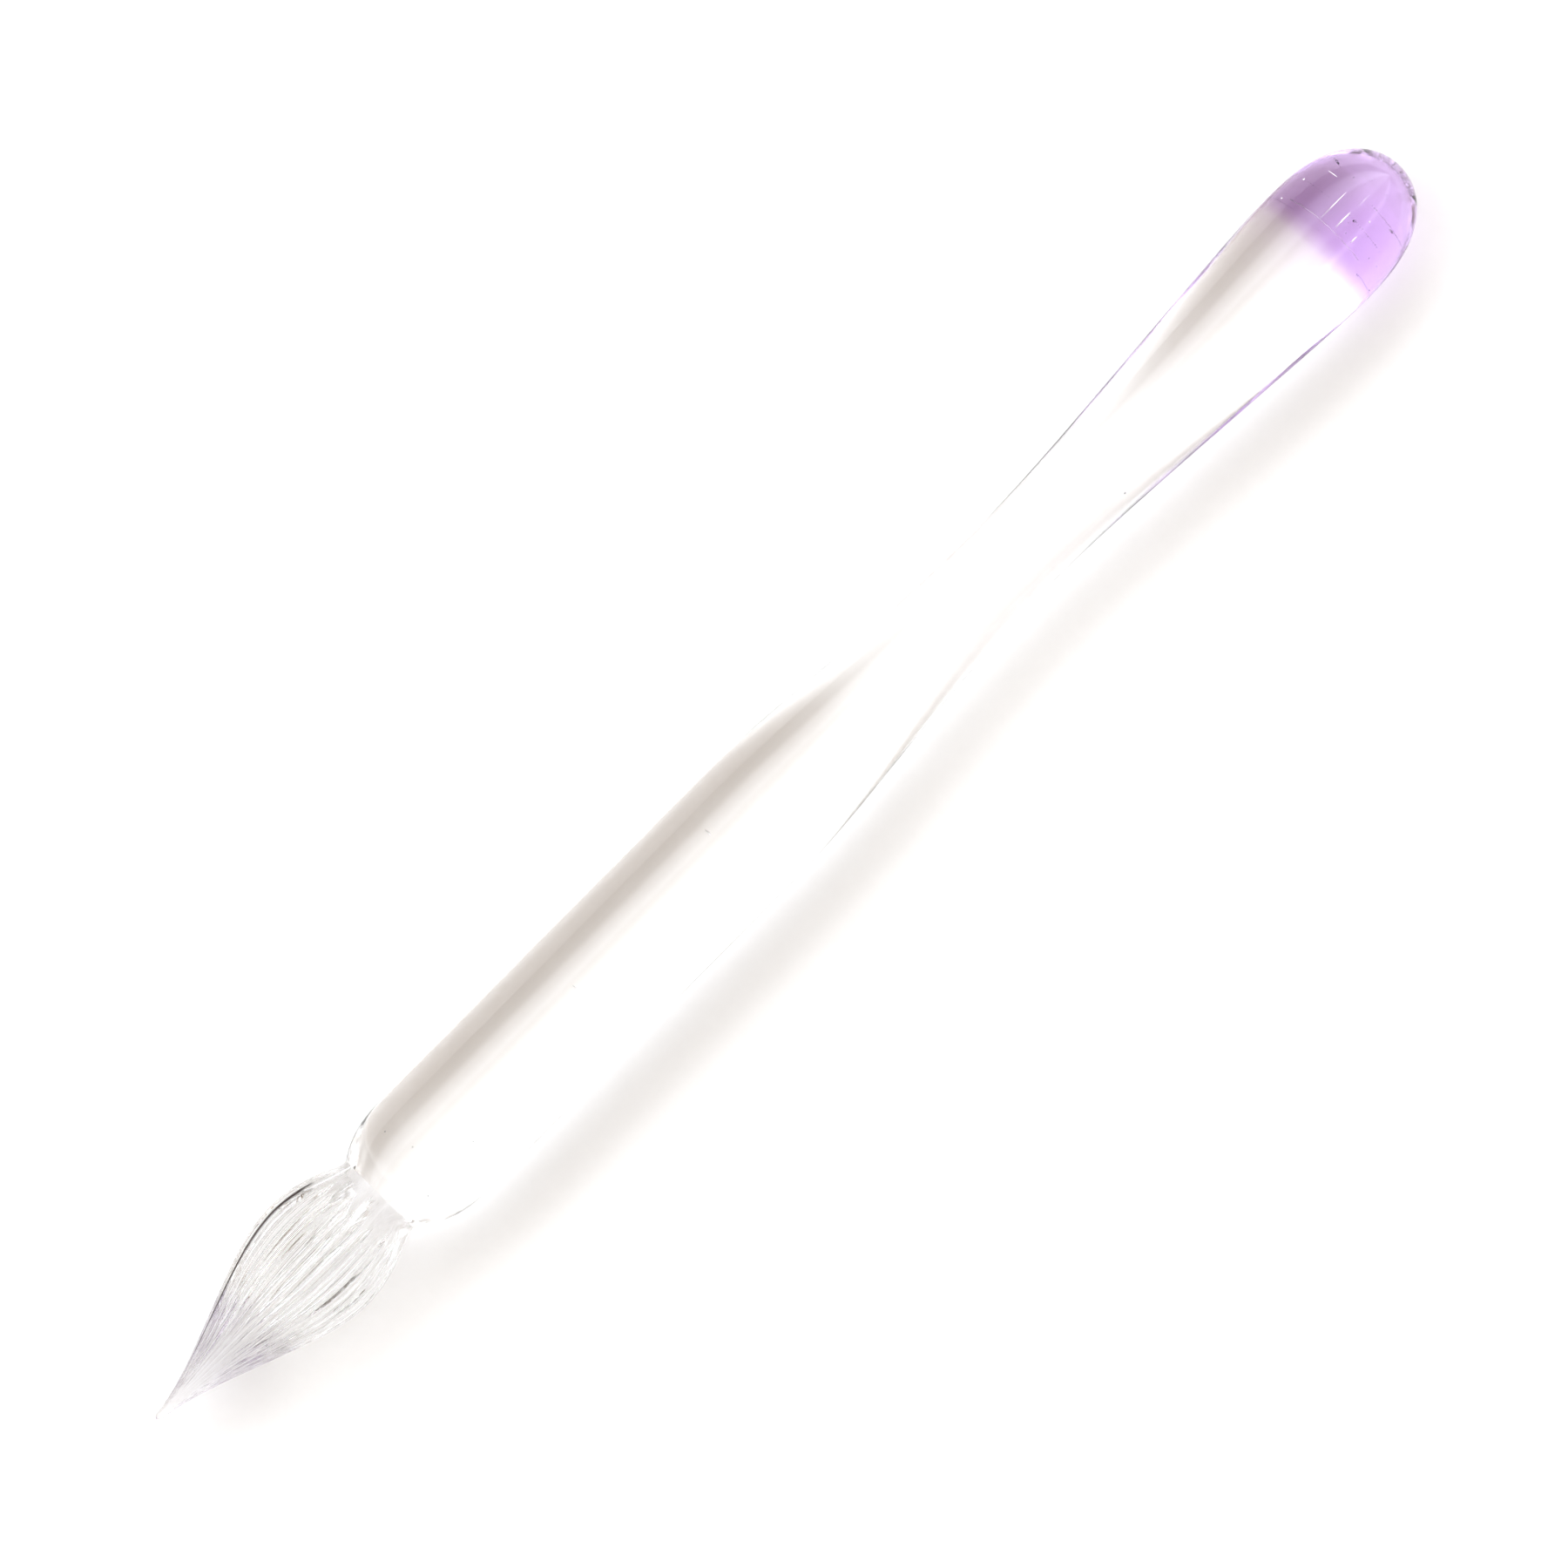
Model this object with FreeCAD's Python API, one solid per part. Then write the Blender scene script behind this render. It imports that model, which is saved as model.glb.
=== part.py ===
# Glass dip pen: a fluted glass nib, a clear glass barrel and a lilac glass end,
# butt-fused into one rigid rod. Millimetres, +Z up. The pen lies on its side on
# the plane Z = 0 with its axis along X and the nib pointing to -X. The origin is
# under the middle of the pen's length, on the surface it lies on.
import FreeCAD, Part
import math
import os

from FreeCAD import Vector

# ---- driving dimensions ----
PEN_LENGTH = 152.0
BARREL_R = 6.0            # straight grip, and the widest place of the rounded end
NIB_R = 5.9               # over the crests of the flutes, just under the grip
TIP_R = 0.45              # fire-polished writing tip
NECK_R = 4.05             # fused seam between nib and barrel
WAIST_R = 3.97            # drawn waist behind the grip

# stations along the pen, measured back from the writing tip
NECK_AT = 26.8            # nib to barrel seam
GRIP_FROM = 34.0          # straight grip starts
GRIP_TO = 71.0            # straight grip ends
WAIST_AT = 103.6          # thinnest place of the barrel
END_SEAM_AT = 141.8       # clear glass to lilac glass seam

# flutes of the nib
FLUTES = 18
FLUTE_DEPTH = 0.105       # valley depth as a share of the crest radius
FLUTES_FROM = 1.1         # flutes start behind the polished tip
FLUTES_FULL_FROM = 4.0
FLUTES_FULL_TO = 22.5
FLUTES_TO = 25.4          # plain round neck from here to the seam
NIB_SECTIONS = 22

AXIS_Z = BARREL_R
TIP_X = -PEN_LENGTH / 2.0


def station(distance_from_tip):
    """X of a place given by its distance behind the writing tip."""
    return TIP_X + distance_from_tip


def smooth_curve(points, first_tangent, last_tangent):
    """Smooth profile curve through (distance from tip, radius) points."""
    places = [Vector(station(along), 0.0, AXIS_Z + radius) for along, radius in points]
    curve = Part.BSplineCurve()
    curve.interpolate(
        Points=places,
        InitialTangent=Vector(first_tangent[0], 0.0, first_tangent[1]),
        FinalTangent=Vector(last_tangent[0], 0.0, last_tangent[1]),
    )
    return curve


def flat_line(start, end):
    """Straight profile edge between two (distance from tip, radius) points."""
    first = Vector(station(start[0]), 0.0, AXIS_Z + start[1])
    last = Vector(station(end[0]), 0.0, AXIS_Z + end[1])
    return Part.LineSegment(first, last).toShape()


def turned(profile_edges):
    """Solid of revolution about the pen's axis from a closed half profile."""
    face = Part.Face(Part.Wire(profile_edges))
    axis_point = Vector(0.0, 0.0, AXIS_Z)
    return face.revolve(axis_point, Vector(1.0, 0.0, 0.0), 360.0)


def ramp(value, start, end):
    """0 before start, 1 after end, with a smooth rise between."""
    share = min(max((value - start) / (end - start), 0.0), 1.0)
    return share * share * (3.0 - 2.0 * share)


def flute_share(along):
    """Share of the full flute depth at a distance behind the tip."""
    rise = ramp(along, FLUTES_FROM, FLUTES_FULL_FROM)
    fall = ramp(along, FLUTES_FULL_TO, FLUTES_TO)
    return rise * (1.0 - fall)


def nib_section(x, crest_r, depth):
    """Closed ring of rounded ridges, one arc each, that meet in narrow valleys."""
    valley_r = crest_r - depth
    pitch = 2.0 * math.pi / FLUTES

    def rim_point(radius, angle):
        return Vector(x, radius * math.sin(angle), AXIS_Z + radius * math.cos(angle))

    ridges = []
    for ridge in range(FLUTES):
        middle = ridge * pitch
        start = rim_point(valley_r, middle - pitch / 2.0)
        crest = rim_point(crest_r, middle)
        end = rim_point(valley_r, middle + pitch / 2.0)
        ridges.append(Part.Arc(start, crest, end).toShape())
    return Part.Wire(ridges)


def make_nib():
    """Flame-shaped nib with straight flutes that run together at the tip."""
    outline = smooth_curve(
        [
            (0.25, 0.38),
            (0.7, TIP_R),
            (3.0, 0.92),
            (8.0, 2.56),
            (13.3, 4.55),
            (19.4, NIB_R),
            (24.0, 5.06),
            (NECK_AT, NECK_R),
        ],
        (0.7, 0.7),
        (1.0, -0.22),
    )
    first = outline.FirstParameter
    last = outline.LastParameter
    sections = [nib_section(station(0.0), 0.16, 0.0)]
    for number in range(NIB_SECTIONS):
        place = outline.value(first + (last - first) * number / (NIB_SECTIONS - 1))
        crest_r = place.z - AXIS_Z
        depth = FLUTE_DEPTH * crest_r * flute_share(place.x - TIP_X)
        sections.append(nib_section(place.x, crest_r, depth))
    return Part.makeLoft(sections, True, False)


def make_barrel():
    """Solid clear rod: rounded shoulder, straight grip, drawn waist and a swell."""
    shoulder = smooth_curve(
        [(NECK_AT, NECK_R), (29.5, 5.33), (GRIP_FROM, BARREL_R)],
        (1.0, 0.55),
        (1.0, 0.0),
    )
    handle = smooth_curve(
        [
            (GRIP_TO, BARREL_R),
            (84.5, 5.13),
            (WAIST_AT, WAIST_R),
            (122.0, 4.90),
            (134.2, 5.68),
            (END_SEAM_AT, BARREL_R),
        ],
        (1.0, 0.0),
        (1.0, 0.0),
    )
    return turned([
        flat_line((NECK_AT, 0.0), (NECK_AT, NECK_R)),
        shoulder.toShape(),
        flat_line((GRIP_FROM, BARREL_R), (GRIP_TO, BARREL_R)),
        handle.toShape(),
        flat_line((END_SEAM_AT, BARREL_R), (END_SEAM_AT, 0.0)),
        flat_line((END_SEAM_AT, 0.0), (NECK_AT, 0.0)),
    ])


def make_lilac_end():
    """Rounded coloured cap, a solid gather of lilac glass."""
    dome = smooth_curve(
        [(END_SEAM_AT, BARREL_R), (147.6, 5.16), (150.7, 2.95), (PEN_LENGTH, 0.0)],
        (1.0, 0.0),
        (0.0, -1.0),
    )
    return turned([
        flat_line((END_SEAM_AT, 0.0), (END_SEAM_AT, BARREL_R)),
        dome.toShape(),
        flat_line((PEN_LENGTH, 0.0), (END_SEAM_AT, 0.0)),
    ])


def main():
    nodes = {
        "nib": make_nib(),
        "barrel": make_barrel(),
        "lilac_end": make_lilac_end(),
    }
    os.makedirs("parts", exist_ok=True)
    for name, shape in nodes.items():
        shape.exportStep("parts/" + name + ".step")
        box = shape.BoundBox
        print(name, shape.ShapeType, shape.isValid(), round(shape.Volume, 1),
              "X", round(box.XMin, 3), round(box.XMax, 3),
              "Z", round(box.ZMin, 3), round(box.ZMax, 3))


main()
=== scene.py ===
import math

import bmesh
import bpy
import numpy as np
from mathutils import Matrix, Vector


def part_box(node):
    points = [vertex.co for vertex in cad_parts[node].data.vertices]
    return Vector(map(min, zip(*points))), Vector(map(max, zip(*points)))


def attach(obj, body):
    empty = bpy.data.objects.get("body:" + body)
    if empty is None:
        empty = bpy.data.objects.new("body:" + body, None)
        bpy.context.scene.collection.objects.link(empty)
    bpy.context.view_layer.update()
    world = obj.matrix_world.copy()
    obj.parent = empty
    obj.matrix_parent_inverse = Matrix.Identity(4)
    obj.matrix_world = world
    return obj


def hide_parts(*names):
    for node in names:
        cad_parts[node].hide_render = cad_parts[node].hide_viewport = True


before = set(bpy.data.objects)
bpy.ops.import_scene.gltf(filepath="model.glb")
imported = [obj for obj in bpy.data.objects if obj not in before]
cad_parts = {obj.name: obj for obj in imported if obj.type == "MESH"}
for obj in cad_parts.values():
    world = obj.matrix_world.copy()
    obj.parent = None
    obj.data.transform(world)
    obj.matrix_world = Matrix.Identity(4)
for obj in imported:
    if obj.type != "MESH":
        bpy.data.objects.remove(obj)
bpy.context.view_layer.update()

MM = 0.001

# ---- the frame: where the three fused pieces lie ----
NIB_LOW, NIB_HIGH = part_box("nib")
BARREL_LOW, BARREL_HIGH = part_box("barrel")
END_LOW, END_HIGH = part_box("lilac_end")
TIP_X = NIB_LOW.x
NECK_X = BARREL_LOW.x
END_SEAM_X = BARREL_HIGH.x
FAR_X = END_HIGH.x
BARREL_R = (BARREL_HIGH.z - BARREL_LOW.z) / 2
NIB_R = (NIB_HIGH.z - NIB_LOW.z) / 2
AXIS_Z = (BARREL_HIGH.z + BARREL_LOW.z) / 2
NECK_R = 0.675 * BARREL_R
WAIST_R = 0.662 * BARREL_R
TIP_R = 0.34 * MM
TIP_ROUND = 0.45            # mm, length of the rounded tip

# ---- detail ----
GROOVES = 36
DEEP_GROOVE = 0.075         # as a share of the crest radius
SHALLOW_GROOVE = 0.045
DEEP_GROOVE_END = 25.2      # mm from the tip
SHALLOW_GROOVE_END = 24.6   # mm from the tip
SHADED_DEEP_GROOVE = 6             # the deepest one, painted with a dark line of shade
GROOVE_TURN = math.radians(3)
GLASS_IOR = 1.5
LILAC_SHARPNESS = 0.77      # below 1 keeps the rod's width for longer
LILAC_FULLNESS = 0.98       # below 1 makes the end blunter than a half ball
OVAL = 0.03                 # how much wider than high the lilac end is
# grey painted into the nib's clear glass as shade, darkening the whole nib
NIB_SHADE_GREY = (0.91, 0.905, 0.90)
CLEAR = (1.0, 1.0, 1.0)
# near black, painted into the groove bottoms as shade
GROOVE_PAINTED_SHADE = (0.02, 0.012, 0.012)
LILAC = (0.53, 0.16, 0.75)
LILAC_DENSITY = 47.0
SENSOR_WIDTH = 36.0         # mm, the camera's
PICTURE_WIDTH = 0.1346      # metres across the picture at the pen
CAMERA_TILT = math.radians(45.4)
FLOOR_REACH = 1.5           # metres each way from the pen
PAPER_GRAIN = 900.0         # fibres to the metre
NIB_ROWS = 185
TIP_ROWS = 9
POINTS_PER_GROOVE = 14
BARREL_ROWS = 260
LILAC_ROWS = 64
SEAM_GAP = 0.01 * MM        # between the faces that meet at a fused seam
ROUND_STEPS = 192
random = np.random.default_rng(12)


# ---------------------------------------------------------------- shape helpers
def clamped_spline(points, first_slope, last_slope):
    """Smooth radius along the pen: a cubic spline through (x, radius) points with set end slopes."""
    x = np.array([p[0] for p in points], float)
    y = np.array([p[1] for p in points], float)
    h = np.diff(x)
    n = len(x)
    matrix = np.zeros((n, n))
    right = np.zeros(n)
    matrix[0, 0] = matrix[-1, -1] = 1.0
    right[0], right[-1] = first_slope, last_slope
    for i in range(1, n - 1):
        matrix[i, i - 1] = 1 / h[i - 1]
        matrix[i, i] = 2 * (1 / h[i - 1] + 1 / h[i])
        matrix[i, i + 1] = 1 / h[i]
        rise = (y[i] - y[i - 1]) / h[i - 1] ** 2 + (y[i + 1] - y[i]) / h[i] ** 2
        right[i] = 3 * rise
    slope = np.linalg.solve(matrix, right)

    def value(at):
        at = np.asarray(at, float)
        k = np.clip(np.searchsorted(x, at, side="right") - 1, 0, n - 2)
        t = (at - x[k]) / h[k]
        start = (1 + 2 * t) * (1 - t) ** 2 * y[k] + t * (1 - t) ** 2 * h[k] * slope[k]
        end = t * t * (3 - 2 * t) * y[k + 1] + t * t * (t - 1) * h[k] * slope[k + 1]
        return start + end

    return value


def smoothstep(value, start, end):
    share = np.clip((value - start) / (end - start), 0.0, 1.0)
    return share * share * (3 - 2 * share)


def closed_rings(name, rings, low_cap, high_cap):
    """A closed mesh from rings of points, each end closed by a fan to its middle point."""
    count = len(rings[0])
    points = [tuple(p) for ring in rings for p in ring]
    faces = []
    for row in range(len(rings) - 1):
        for i in range(count):
            j = (i + 1) % count
            a, b = row * count, (row + 1) * count
            faces.append((a + i, b + i, b + j, a + j))
    seam_faces = []
    for ring_start, ring, is_seam, is_low in (
        (0, rings[0], low_cap, True),
        ((len(rings) - 1) * count, rings[-1], high_cap, False),
    ):
        middle = np.mean(np.array(ring), axis=0)
        points.append(tuple(middle))
        centre = len(points) - 1
        for i in range(count):
            j = (i + 1) % count
            corner = (ring_start + i, ring_start + j, centre)
            seam_faces.append((len(faces), is_seam))
            faces.append(corner if is_low else corner[::-1])
    mesh = bpy.data.meshes.new(name)
    mesh.from_pydata(points, [], faces)
    flag = mesh.attributes.new("fused", "FLOAT", "FACE")
    for face, is_seam in seam_faces:
        flag.data[face].value = 1.0 if is_seam else 0.0
    mesh.polygons.foreach_set("use_smooth", np.ones(len(faces), bool))
    sharp = mesh.attributes.new("sharp_edge", "BOOLEAN", "EDGE")
    last = (len(rings) - 1) * count
    for edge in mesh.edges:
        a, b = edge.vertices
        on_low = low_cap and a < count and b < count
        on_high = high_cap and last <= a < last + count and last <= b < last + count
        sharp.data[edge.index].value = bool(on_low or on_high)
    mesh.update()
    piece = bpy.data.objects.new(name, mesh)
    bpy.context.scene.collection.objects.link(piece)
    return piece


def ring_at(x, radius, angle):
    """Points of one section of the pen: angles run from the top towards +Y."""
    at = (x - TIP_X) / MM
    wide = 1 + OVAL * smoothstep(at, 118.0, 142.0)
    return np.column_stack([
        np.full(len(angle), x),
        axis_y(x) + wide * radius * np.sin(angle),
        AXIS_Z + radius * np.cos(angle),
    ])


def turned_ring(x, radius, steps=ROUND_STEPS):
    return ring_at(x, radius, np.arange(steps) * 2 * math.pi / steps)


def outward(piece):
    """Points every face away from the glass."""
    shape = bmesh.new()
    shape.from_mesh(piece.data)
    bmesh.ops.recalc_face_normals(shape, faces=shape.faces)
    shape.to_mesh(piece.data)
    shape.free()


# ---------------------------------------------------------------- the pen
def axis_y(x):
    """The pen's own line isn't quite straight: nib and rod were joined a little off centre."""
    at = (x - TIP_X) / MM
    return (0.22 - 0.38 * smoothstep(at, 26.0, 33.0) + 0.26 * smoothstep(at, 62.0, 125.0)) * MM


def nib_radius():
    """Crest radius along the nib."""
    along = [
        (TIP_ROUND, TIP_R / MM),
        (3.0, 0.84),
        (8.0, 2.53),
        (13.3, 4.55),
        (19.4, NIB_R / MM),
        (24.0, 5.04),
    ]
    points = [(TIP_X + at * MM, radius * MM) for at, radius in along]
    points.append((NECK_X, NECK_R))
    return clamped_spline(points, 0.10, -0.22)


def make_nib():
    """Sharp grooves between round ridges: deep ones and shallow ones in turn, each ending in a
    point near the neck."""
    crest = nib_radius()
    half = POINTS_PER_GROOVE // 2
    step = np.arange(-half, half) / POINTS_PER_GROOVE
    # points lie closer together at the bottom of a groove
    aside = np.sign(step) * 0.5 * np.abs(2 * step) ** 1.3
    groove = np.repeat(np.arange(GROOVES), POINTS_PER_GROOVE)
    aside = np.tile(aside, GROOVES)
    angle = (groove + aside) * 2 * math.pi / GROOVES + GROOVE_TURN
    valley = 1 - np.sin(math.pi * np.abs(aside))
    is_deep = np.arange(GROOVES) % 2 == 0
    depth_of = np.where(is_deep, DEEP_GROOVE, SHALLOW_GROOVE)
    depth_of = depth_of * (1.0 + random.uniform(-0.35, 0.35, GROOVES))
    side = np.degrees(np.arange(GROOVES) * 2 * math.pi / GROOVES + GROOVE_TURN)
    depth_of = np.where((side > 270) & (side < 320), 0.55 * depth_of, depth_of)
    end_of = np.where(is_deep, DEEP_GROOVE_END, SHALLOW_GROOVE_END) + random.uniform(-0.7, 0.7, GROOVES)
    bend_of = random.uniform(-0.04, 0.04, GROOVES)
    drift_of = random.uniform(-0.025, 0.025, GROOVES)
    depth_of[SHADED_DEEP_GROOVE] = 1.5 * DEEP_GROOVE
    end_of[SHADED_DEEP_GROOVE] = 23.9
    end_of[SHADED_DEEP_GROOVE - 1] = 23.7
    bend_of[SHADED_DEEP_GROOVE] = -0.15
    bend_of[SHADED_DEEP_GROOVE - 1] = -0.03

    rings = []
    start = TIP_X + TIP_ROUND * MM
    for row in range(TIP_ROWS):
        turn = (row + 0.6) / TIP_ROWS * math.pi / 2
        x = start - TIP_ROUND * MM * math.cos(turn)
        rings.append(ring_at(x, TIP_R * math.sin(turn), angle))
    for x in np.linspace(start, NECK_X - SEAM_GAP / 2, NIB_ROWS):
        at = (x - TIP_X) / MM
        missing = 1 - smoothstep(at, 0.8, 3.0) + smoothstep(at, end_of - 1.8, end_of)
        cut = depth_of[groove] * np.maximum(valley - missing[groove], 0)
        cut = cut * (0.30 + 0.70 * smoothstep(at, 6.0, 18.0))
        swing = drift_of * smoothstep(at, 2.0, 12.0) + bend_of * smoothstep(at, 19.0, 24.5)
        lean = swing[groove] * (1 - 2 * np.abs(aside))
        rings.append(ring_at(x, float(crest(x)) * (1 - cut), angle + lean))
    piece = closed_rings("fluted_nib", rings, False, True)
    outward(piece)
    paint_groove_shade(piece, len(rings), groove, aside)
    return piece


def paint_groove_shade(piece, ring_count, groove, aside):
    """Paints shade into the colour: a thin dark line at the bottom of each groove, and on the one
    deep groove a dark line with a fainter branch."""
    count = len(groove)
    at = np.array([(v.co.x - TIP_X) / MM for v in piece.data.vertices])[:ring_count * count]
    at = at.reshape(ring_count, count)
    line_of = random.uniform(0.20, 0.90, GROOVES)
    # painted shade: a thin dark line down each groove bottom
    bottom = np.clip(1 - np.abs(aside) / 0.04, 0, 1)
    bottom_shade = line_of[groove] * bottom * smoothstep(at, 2.0, 10.0) * (1 - smoothstep(at, 23.0, 25.0))
    # painted shade on the far wall of the deepest groove, the side seen from above
    wall = np.clip(1.8 - np.abs(aside - 0.36) / 0.08, 0, 1)
    main = smoothstep(at, 1.0, 8.0) * (1 - smoothstep(at, 23.2, 23.8)) * (groove == SHADED_DEEP_GROOVE)
    branch = 0.6 * smoothstep(at, 18.5, 22.5) * (1 - smoothstep(at, 23.0, 23.6))
    branch = branch * (groove == SHADED_DEEP_GROOVE - 1)
    strength = np.zeros(len(piece.data.vertices))
    strength[:ring_count * count] = np.maximum(bottom_shade, (main + branch) * wall).ravel()
    groove_shade = piece.data.attributes.new("groove_shade", "FLOAT", "POINT")
    groove_shade.data.foreach_set("value", strength)


def barrel_radius():
    """Radius along the clear rod: shoulder, straight grip, drawn waist, swell."""
    grip_from = TIP_X + 34.0 * MM
    grip_to = TIP_X + 71.0 * MM
    shoulder = clamped_spline(
        [
            (NECK_X, NECK_R),
            (TIP_X + 28.7 * MM, 5.15 * MM),
            (TIP_X + 30.6 * MM, 5.75 * MM),
            (grip_from, BARREL_R),
        ],
        0.75,
        0.0,
    )
    handle = clamped_spline(
        [
            (grip_to, BARREL_R),
            (TIP_X + 84.5 * MM, 5.13 * MM),
            (TIP_X + 103.6 * MM, WAIST_R),
            (TIP_X + 122.0 * MM, 4.90 * MM),
            (TIP_X + 134.2 * MM, 5.68 * MM),
            (END_SEAM_X, BARREL_R),
        ],
        0.0,
        0.0,
    )

    def value(x):
        if x < grip_from:
            return float(shoulder(x))
        if x > grip_to:
            return float(handle(x))
        return BARREL_R

    return value


def make_barrel():
    """The clear rod, closed at both seams, with its few seeds."""
    radius = barrel_radius()
    low = NECK_X + SEAM_GAP / 2
    high = END_SEAM_X - SEAM_GAP / 2
    # rows lie closer together on the short shoulder
    share = np.linspace(0, 1, BARREL_ROWS)
    places = low + (high - low) * (0.72 * share + 0.28 * share**3)
    rings = [turned_ring(x, radius(x)) for x in places]
    piece = closed_rings("clear_barrel", rings, True, True)
    outward(piece)
    add_bubbles(piece, clear_bubbles(), radius)
    return piece


def lilac_radius(x):
    """A blunt rounded end, fuller than a half ball."""
    low = END_SEAM_X + SEAM_GAP / 2
    turn = math.asin(((x - low) / (FAR_X - low)) ** (1 / LILAC_SHARPNESS))
    return BARREL_R * math.cos(turn) ** LILAC_FULLNESS


def make_lilac_end():
    """The rounded lilac gather, closed at its seam, with rows of small bubbles."""
    low = END_SEAM_X + SEAM_GAP / 2
    rings = []
    for row in range(LILAC_ROWS):
        turn = row / LILAC_ROWS * math.pi / 2
        x = low + (FAR_X - low) * math.sin(turn) ** LILAC_SHARPNESS
        rings.append(turned_ring(x, BARREL_R * math.cos(turn) ** LILAC_FULLNESS))
    piece = closed_rings("lilac_glass_end", rings, True, False)
    outward(piece)
    add_bubbles(piece, lilac_bubbles(), lilac_radius)
    return piece


def add_bubbles(piece, bubbles, radius):
    """Hollows in the glass: each is (mm from the tip, degrees from the top towards +Y, depth,
    length along the pen, length round it, thickness), all but the degrees in mm."""
    hollows = pips(bubbles, radius)
    # a hollow's faces look into it, away from the glass
    hollows.flip_normals()
    shape = bmesh.new()
    shape.from_mesh(piece.data)
    shape.from_mesh(hollows)
    shape.to_mesh(piece.data)
    shape.free()
    bpy.data.meshes.remove(hollows)


def pips(places, radius):
    """A mesh of small smooth ovals, each placed as add_bubbles says. A depth below 0 leaves it
    standing a little out of the surface."""
    shape = bmesh.new()
    for at, degrees, depth, along, round_it, thick in places:
        x = TIP_X + at * MM
        angle = math.radians(degrees)
        middle = ring_at(x, radius(x) - (depth + thick / 2) * MM, np.array([angle]))[0]
        size = Matrix.Diagonal((along / 2 * MM, round_it / 2 * MM, thick / 2 * MM, 1))
        turn = Matrix.Rotation(-angle, 4, "X")
        place = Matrix.Translation(middle) @ turn @ size
        bmesh.ops.create_uvsphere(shape, u_segments=14, v_segments=9, radius=1.0, matrix=place)
    for face in shape.faces:
        face.smooth = True
    mesh = bpy.data.meshes.new("pips")
    shape.to_mesh(mesh)
    shape.free()
    return mesh


def make_painted_highlight_streaks():
    """Painted highlights: white streaks standing a little out of the lilac glass, drawn out along and
    round it.
    """
    streaks = [
        (144.3, 15.5, -0.02, 3.3, 0.10, 0.06),
        (143.9, 1.5, -0.02, 2.0, 0.14, 0.06),
        (146.4, 0.5, -0.01, 1.6, 0.05, 0.03),
        (143.4, -16.0, -0.02, 0.8, 0.14, 0.06),
        (145.5, -15.5, -0.02, 0.20, 0.18, 0.06),
        (146.5, 38.0, -0.01, 0.08, 1.2, 0.03),
        (144.6, 56.0, -0.01, 0.22, 0.24, 0.03),
        (142.1, 58.0, -0.01, 0.16, 0.18, 0.03),
    ]
    piece = bpy.data.objects.new("lilac_painted_highlight_streaks", pips(streaks, lilac_radius))
    bpy.context.scene.collection.objects.link(piece)
    return piece


def bubble_row(at, bulge, first, last, count, round_it, thick):
    """A row of small bubbles round the pen from one angle to another."""
    row = []
    for degrees in np.linspace(first, last, count):
        place = at + bulge * math.cos(math.radians(degrees)) + random.uniform(-0.03, 0.03)
        size = random.uniform(0.6, 1.2)
        depth = random.uniform(0.03, 0.10)
        row.append((place, degrees, depth, thick * size, round_it * size, thick * size))
    return row


def lilac_bubbles():
    """Rows of fine bubbles round the lilac glass, and a scatter of single ones."""
    bubbles = bubble_row(141.9, 0.75, 48, -30, 30, 0.34, 0.06)
    bubbles += bubble_row(144.4, 0.2, 0, -36, 15, 0.13, 0.08)
    bubbles += bubble_row(146.5, 0.2, -8, -62, 20, 0.14, 0.09)
    bubbles += bubble_row(144.6, 0.0, 50, 24, 8, 0.10, 0.07)
    bubbles.append((146.5, -38.0, 0.15, 0.16, 0.60, 0.14))
    for _ in range(26):
        size = random.uniform(0.04, 0.11)
        bubbles.append((
            random.uniform(142.5, 149.0),
            random.uniform(-180, 180),
            random.uniform(0.2, 2.2),
            size * random.uniform(1.0, 2.5),
            size,
            size,
        ))
    return bubbles


def clear_bubbles():
    """Short hair-fine seeds in the clear rod."""
    return [
        (68.1, 22.0, 0.30, 0.12, 0.70, 0.10),
        (50.8, 9.0, 0.25, 0.08, 0.60, 0.08),
        (35.5, -22.0, 0.40, 0.16, 0.14, 0.12),
        (114.3, -46.0, 0.25, 0.20, 0.16, 0.12),
        (29.6, -32.0, 0.20, 0.12, 0.12, 0.10),
        (30.9, 41.0, 0.30, 0.14, 0.12, 0.10),
        (31.6, 12.0, 0.50, 0.12, 0.12, 0.10),
    ]


# ---------------------------------------------------------------- materials
def new_material(name):
    material = bpy.data.materials.new(name)
    material.use_nodes = True
    nodes = material.node_tree.nodes
    return material, nodes, material.node_tree.links, nodes["Principled BSDF"]


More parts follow.
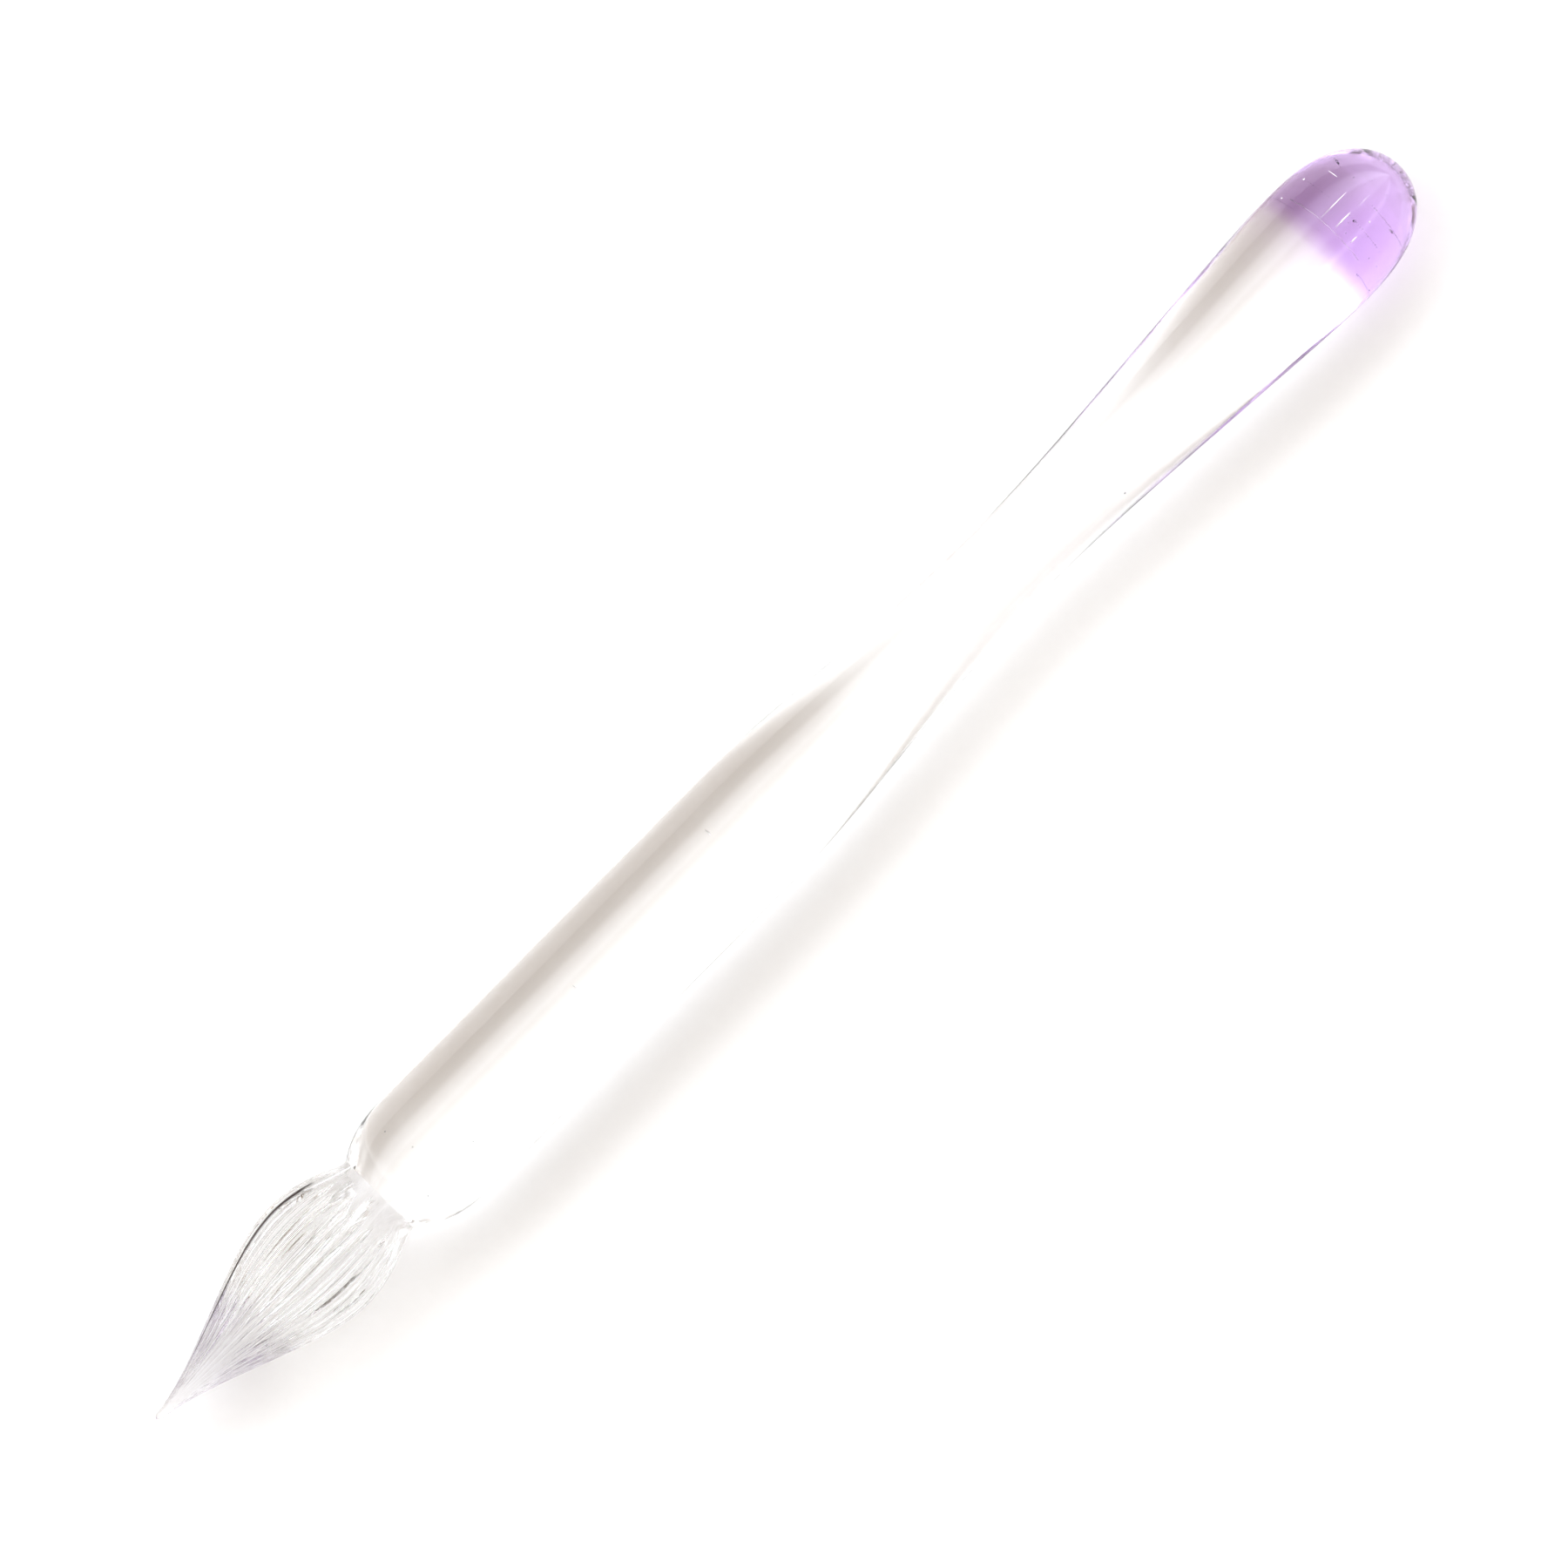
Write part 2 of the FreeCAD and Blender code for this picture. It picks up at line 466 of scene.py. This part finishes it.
def drawn_lines(nodes, links, shader, round_cells, along_cells, height, haze_most):
    """Fine lines that drawing the hot glass leaves along the pen, as bump and a trace of haze.
    round_cells and along_cells count how often they change round the pen and in each metre of it,
    height is the bump's and haze_most is the roughness of the haziest lines."""
    place = nodes.new("ShaderNodeTexCoord")
    split = nodes.new("ShaderNodeSeparateXYZ")
    links.new(place.outputs["Object"], split.inputs[0])
    rise = nodes.new("ShaderNodeMath")
    rise.operation = "SUBTRACT"
    rise.inputs[1].default_value = AXIS_Z
    links.new(split.outputs["Z"], rise.inputs[0])
    spoke = nodes.new("ShaderNodeCombineXYZ")
    links.new(split.outputs["Y"], spoke.inputs["Y"])
    links.new(rise.outputs[0], spoke.inputs["Z"])
    unit = nodes.new("ShaderNodeVectorMath")
    unit.operation = "NORMALIZE"
    links.new(spoke.outputs[0], unit.inputs[0])
    spread = nodes.new("ShaderNodeVectorMath")
    spread.operation = "SCALE"
    spread.inputs["Scale"].default_value = round_cells / (2 * math.pi)
    links.new(unit.outputs[0], spread.inputs[0])
    slow = nodes.new("ShaderNodeCombineXYZ")
    drift = nodes.new("ShaderNodeMath")
    drift.operation = "MULTIPLY"
    drift.inputs[1].default_value = along_cells
    links.new(split.outputs["X"], drift.inputs[0])
    links.new(drift.outputs[0], slow.inputs["X"])
    where = nodes.new("ShaderNodeVectorMath")
    where.operation = "ADD"
    links.new(spread.outputs[0], where.inputs[0])
    links.new(slow.outputs[0], where.inputs[1])
    grain = nodes.new("ShaderNodeTexNoise")
    grain.inputs["Scale"].default_value = 1.0
    grain.inputs["Detail"].default_value = 3.0
    links.new(where.outputs[0], grain.inputs["Vector"])
    bump = nodes.new("ShaderNodeBump")
    bump.inputs["Strength"].default_value = 1.0
    bump.inputs["Distance"].default_value = height
    links.new(grain.outputs["Fac"], bump.inputs["Height"])
    links.new(bump.outputs[0], shader.inputs["Normal"])
    haze = nodes.new("ShaderNodeMapRange")
    haze.inputs["From Min"].default_value = 0.35
    haze.inputs["From Max"].default_value = 0.75
    haze.inputs["To Max"].default_value = haze_most
    links.new(grain.outputs["Fac"], haze.inputs["Value"])
    links.new(haze.outputs[0], shader.inputs["Roughness"])


def glass_material(name, colour, round_cells, along_cells, height, haze_most):
    """Glass whose fused seam faces neither bend nor mirror light."""
    material, nodes, links, shader = new_material(name)
    shader.inputs["Base Color"].default_value = (*colour, 1)
    shader.inputs["Transmission Weight"].default_value = 1.0
    shader.inputs["IOR"].default_value = GLASS_IOR
    fused = nodes.new("ShaderNodeAttribute")
    fused.attribute_name = "fused"
    bend = nodes.new("ShaderNodeMath")
    bend.operation = "MULTIPLY_ADD"
    bend.inputs[1].default_value = 1.0 - GLASS_IOR
    bend.inputs[2].default_value = GLASS_IOR
    links.new(fused.outputs["Fac"], bend.inputs[0])
    links.new(bend.outputs[0], shader.inputs["IOR"])
    drawn_lines(nodes, links, shader, round_cells, along_cells, height, haze_most)
    return material


def nib_material():
    """Ground, fluted glass with grey painted shade that makes it a little darker than the rod and
    clears towards the neck; an attribute paints shade into the groove bottoms."""
    material = glass_material(
        "nib glass", NIB_SHADE_GREY, round_cells=150, along_cells=10, height=0.009 * MM, haze_most=0.008
    )
    nodes = material.node_tree.nodes
    links = material.node_tree.links
    place = nodes.new("ShaderNodeTexCoord")
    split = nodes.new("ShaderNodeSeparateXYZ")
    links.new(place.outputs["Object"], split.inputs[0])
    clearing = nodes.new("ShaderNodeMapRange")
    clearing.inputs["From Min"].default_value = NECK_X - 6 * MM
    clearing.inputs["From Max"].default_value = NECK_X - 1 * MM
    links.new(split.outputs["X"], clearing.inputs["Value"])
    # the painted grey shade fades to clear over the last few mm before the neck
    tint = nodes.new("ShaderNodeMix")
    tint.data_type = "RGBA"
    tint.inputs["A"].default_value = (*NIB_SHADE_GREY, 1)
    tint.inputs["B"].default_value = (*CLEAR, 1)
    links.new(clearing.outputs[0], tint.inputs["Factor"])
    groove_shade = nodes.new("ShaderNodeAttribute")
    groove_shade.attribute_name = "groove_shade"
    # mixes near-black painted shade into the groove bottoms
    dark = nodes.new("ShaderNodeMix")
    dark.data_type = "RGBA"
    links.new(tint.outputs["Result"], dark.inputs["A"])
    dark.inputs["B"].default_value = (*GROOVE_PAINTED_SHADE, 1)
    links.new(groove_shade.outputs["Fac"], dark.inputs["Factor"])
    links.new(dark.outputs["Result"], nodes["Principled BSDF"].inputs["Base Color"])
    return material


def clear_material():
    return glass_material(
        "clear glass", CLEAR, round_cells=40, along_cells=60, height=0.006 * MM, haze_most=0.02
    )


def lilac_material():
    material = glass_material(
        "lilac glass", CLEAR, round_cells=30, along_cells=300, height=0.012 * MM, haze_most=0.03
    )
    nodes = material.node_tree.nodes
    absorb = nodes.new("ShaderNodeVolumeAbsorption")
    absorb.inputs["Color"].default_value = (*LILAC, 1)
    absorb.inputs["Density"].default_value = LILAC_DENSITY
    output = nodes["Material Output"]
    material.node_tree.links.new(absorb.outputs[0], output.inputs["Volume"])
    return material


def painted_highlight_material():
    """Painted highlight, white and a little broken up along its length."""
    material, nodes, links, shader = new_material("painted highlight streaks")
    shader.inputs["Roughness"].default_value = 0.6
    breaks = nodes.new("ShaderNodeTexNoise")
    breaks.inputs["Scale"].default_value = 2500.0
    tone = nodes.new("ShaderNodeValToRGB")
    tone.color_ramp.elements[0].color = (0.86, 0.80, 0.95, 1)
    tone.color_ramp.elements[0].position = 0.3
    tone.color_ramp.elements[1].color = (1.0, 1.0, 1.0, 1)
    tone.color_ramp.elements[1].position = 0.55
    links.new(breaks.outputs["Fac"], tone.inputs[0])
    links.new(tone.outputs[0], shader.inputs["Base Color"])
    return material


def floor_material():
    """Matt white paper with a faint grain."""
    material, nodes, links, shader = new_material("white paper floor")
    shader.inputs["Roughness"].default_value = 0.9
    shader.inputs["Specular IOR Level"].default_value = 0.1
    place = nodes.new("ShaderNodeTexCoord")
    fibre = nodes.new("ShaderNodeTexNoise")
    fibre.inputs["Scale"].default_value = PAPER_GRAIN
    fibre.inputs["Detail"].default_value = 4.0
    links.new(place.outputs["Object"], fibre.inputs["Vector"])
    tone = nodes.new("ShaderNodeValToRGB")
    tone.color_ramp.elements[0].color = (0.89, 0.89, 0.89, 1)
    tone.color_ramp.elements[1].color = (0.91, 0.91, 0.91, 1)
    links.new(fibre.outputs["Fac"], tone.inputs[0])
    links.new(tone.outputs[0], shader.inputs["Base Color"])
    return material


def make_floor():
    size = FLOOR_REACH
    mesh = bpy.data.meshes.new("floor")
    corners = [(-size, -size, 0), (size, -size, 0), (size, size, 0), (-size, size, 0)]
    mesh.from_pydata(corners, [], [(0, 1, 2, 3)])
    floor = bpy.data.objects.new("floor", mesh)
    bpy.context.scene.collection.objects.link(floor)
    floor.data.materials.append(floor_material())


# ---------------------------------------------------------------- camera and light
def facing(place, target, up):
    """Rotation that looks from place to target with up towards the picture's top."""
    back = (place - target).normalized()
    right = up.cross(back).normalized()
    top = back.cross(right)
    return Matrix((right, top, back)).transposed().to_4x4()


def make_camera():
    """Looks down from above, a little from the nib's side, with the pen turned in the picture."""
    up = Vector((math.sin(CAMERA_TILT), math.cos(CAMERA_TILT), 0))
    target = Vector((0.05 * MM, 0.3 * MM, AXIS_Z))
    place = Vector((-0.047, 0.0, 0.56))
    data = bpy.data.cameras.new("camera")
    data.sensor_width = SENSOR_WIDTH
    data.lens = SENSOR_WIDTH * (place - target).length / PICTURE_WIDTH
    data.clip_start = 0.01
    camera = bpy.data.objects.new("camera", data)
    camera.matrix_world = Matrix.Translation(place) @ facing(place, target, up)
    bpy.context.scene.collection.objects.link(camera)
    bpy.context.scene.camera = camera


def make_studio():
    """A soft tent of light round the pen, which changes only across it."""
    cool = (0.93, 0.96, 1.00)
    plain = (1.00, 1.00, 1.00)
    warm = (1.00, 0.84, 0.70)
    # angle from overhead, + towards -Y; strength; colour
    tent = [
        (-90, 0.2, warm),       # dim room on the +Y side
        (-66, 0.2, warm),
        (-56, 2.0, cool),       # far edge of the big soft box
        (-35, 3.5, cool),       # its near edge, the brightest
        (-27, 1.9, plain),      # white card overhead
        (-1, 1.9, plain),
        (9, 0.6, warm),         # gap round the camera
        (24, 0.5, warm),
        (31, 2.0, plain),       # narrow strip light
        (40, 0.2, warm),        # dim room on the -Y side
        (90, 0.6, warm),
    ]
    brightest = 3.5
    world = bpy.data.worlds.new("studio")
    bpy.context.scene.world = world
    world.use_nodes = True
    nodes = world.node_tree.nodes
    links = world.node_tree.links
    back = nodes["Background"]
    place = nodes.new("ShaderNodeTexCoord")
    split = nodes.new("ShaderNodeSeparateXYZ")
    links.new(place.outputs["Generated"], split.inputs[0])
    side = nodes.new("ShaderNodeMath")
    side.operation = "MULTIPLY"
    side.inputs[1].default_value = -1.0
    links.new(split.outputs["Y"], side.inputs[0])
    angle = nodes.new("ShaderNodeMath")
    angle.operation = "ARCTAN2"
    links.new(side.outputs[0], angle.inputs[0])
    links.new(split.outputs["Z"], angle.inputs[1])
    share = nodes.new("ShaderNodeMapRange")
    share.inputs["From Min"].default_value = -math.pi / 2
    share.inputs["From Max"].default_value = math.pi / 2
    links.new(angle.outputs[0], share.inputs["Value"])
    ramp = nodes.new("ShaderNodeValToRGB")
    stops = ramp.color_ramp.elements
    for i, (degrees, strength, colour) in enumerate(tent):
        at = (degrees + 90) / 180
        stop = stops[i] if i < 2 else stops.new(at)
        stop.position = at
        stop.color = (*(c * strength / brightest for c in colour), 1)
    links.new(share.outputs[0], ramp.inputs[0])
    sight = nodes.new("ShaderNodeLightPath")
    pale = nodes.new("ShaderNodeMix")
    pale.data_type = "RGBA"
    links.new(sight.outputs["Is Camera Ray"], pale.inputs["Factor"])
    links.new(ramp.outputs[0], pale.inputs["A"])
    pale.inputs["B"].default_value = (1 / brightest, 1 / brightest, 1 / brightest, 1)
    links.new(pale.outputs["Result"], back.inputs["Color"])
    back.inputs["Strength"].default_value = brightest


def set_look():
    """Light passes through many faces of clear glass, so paths through it are followed for long."""
    scene = bpy.context.scene
    scene.view_settings.view_transform = "Standard"
    scene.view_settings.exposure = 0.0
    scene.view_settings.gamma = 0.77
    scene.cycles.max_bounces = 40
    scene.cycles.transmission_bounces = 40
    scene.cycles.glossy_bounces = 14
    scene.cycles.caustics_refractive = True
    scene.cycles.caustics_reflective = True
    scene.cycles.blur_glossy = 0.2


# ---------------------------------------------------------------- build
make_camera()
make_studio()
set_look()
make_floor()
for piece, node, slot, material in (
    (make_nib(), "nib", "nib_glass", nib_material()),
    (make_barrel(), "barrel", "clear_glass", clear_material()),
    (make_lilac_end(), "lilac_end", "lilac_glass", lilac_material()),
):
    piece.data.materials.append(material)
    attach(piece, "root")
    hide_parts(node)

# white marks on the lilac glass that stand in as painted highlights
streaks = make_painted_highlight_streaks()
streaks.data.materials.append(painted_highlight_material())
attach(streaks, "root")
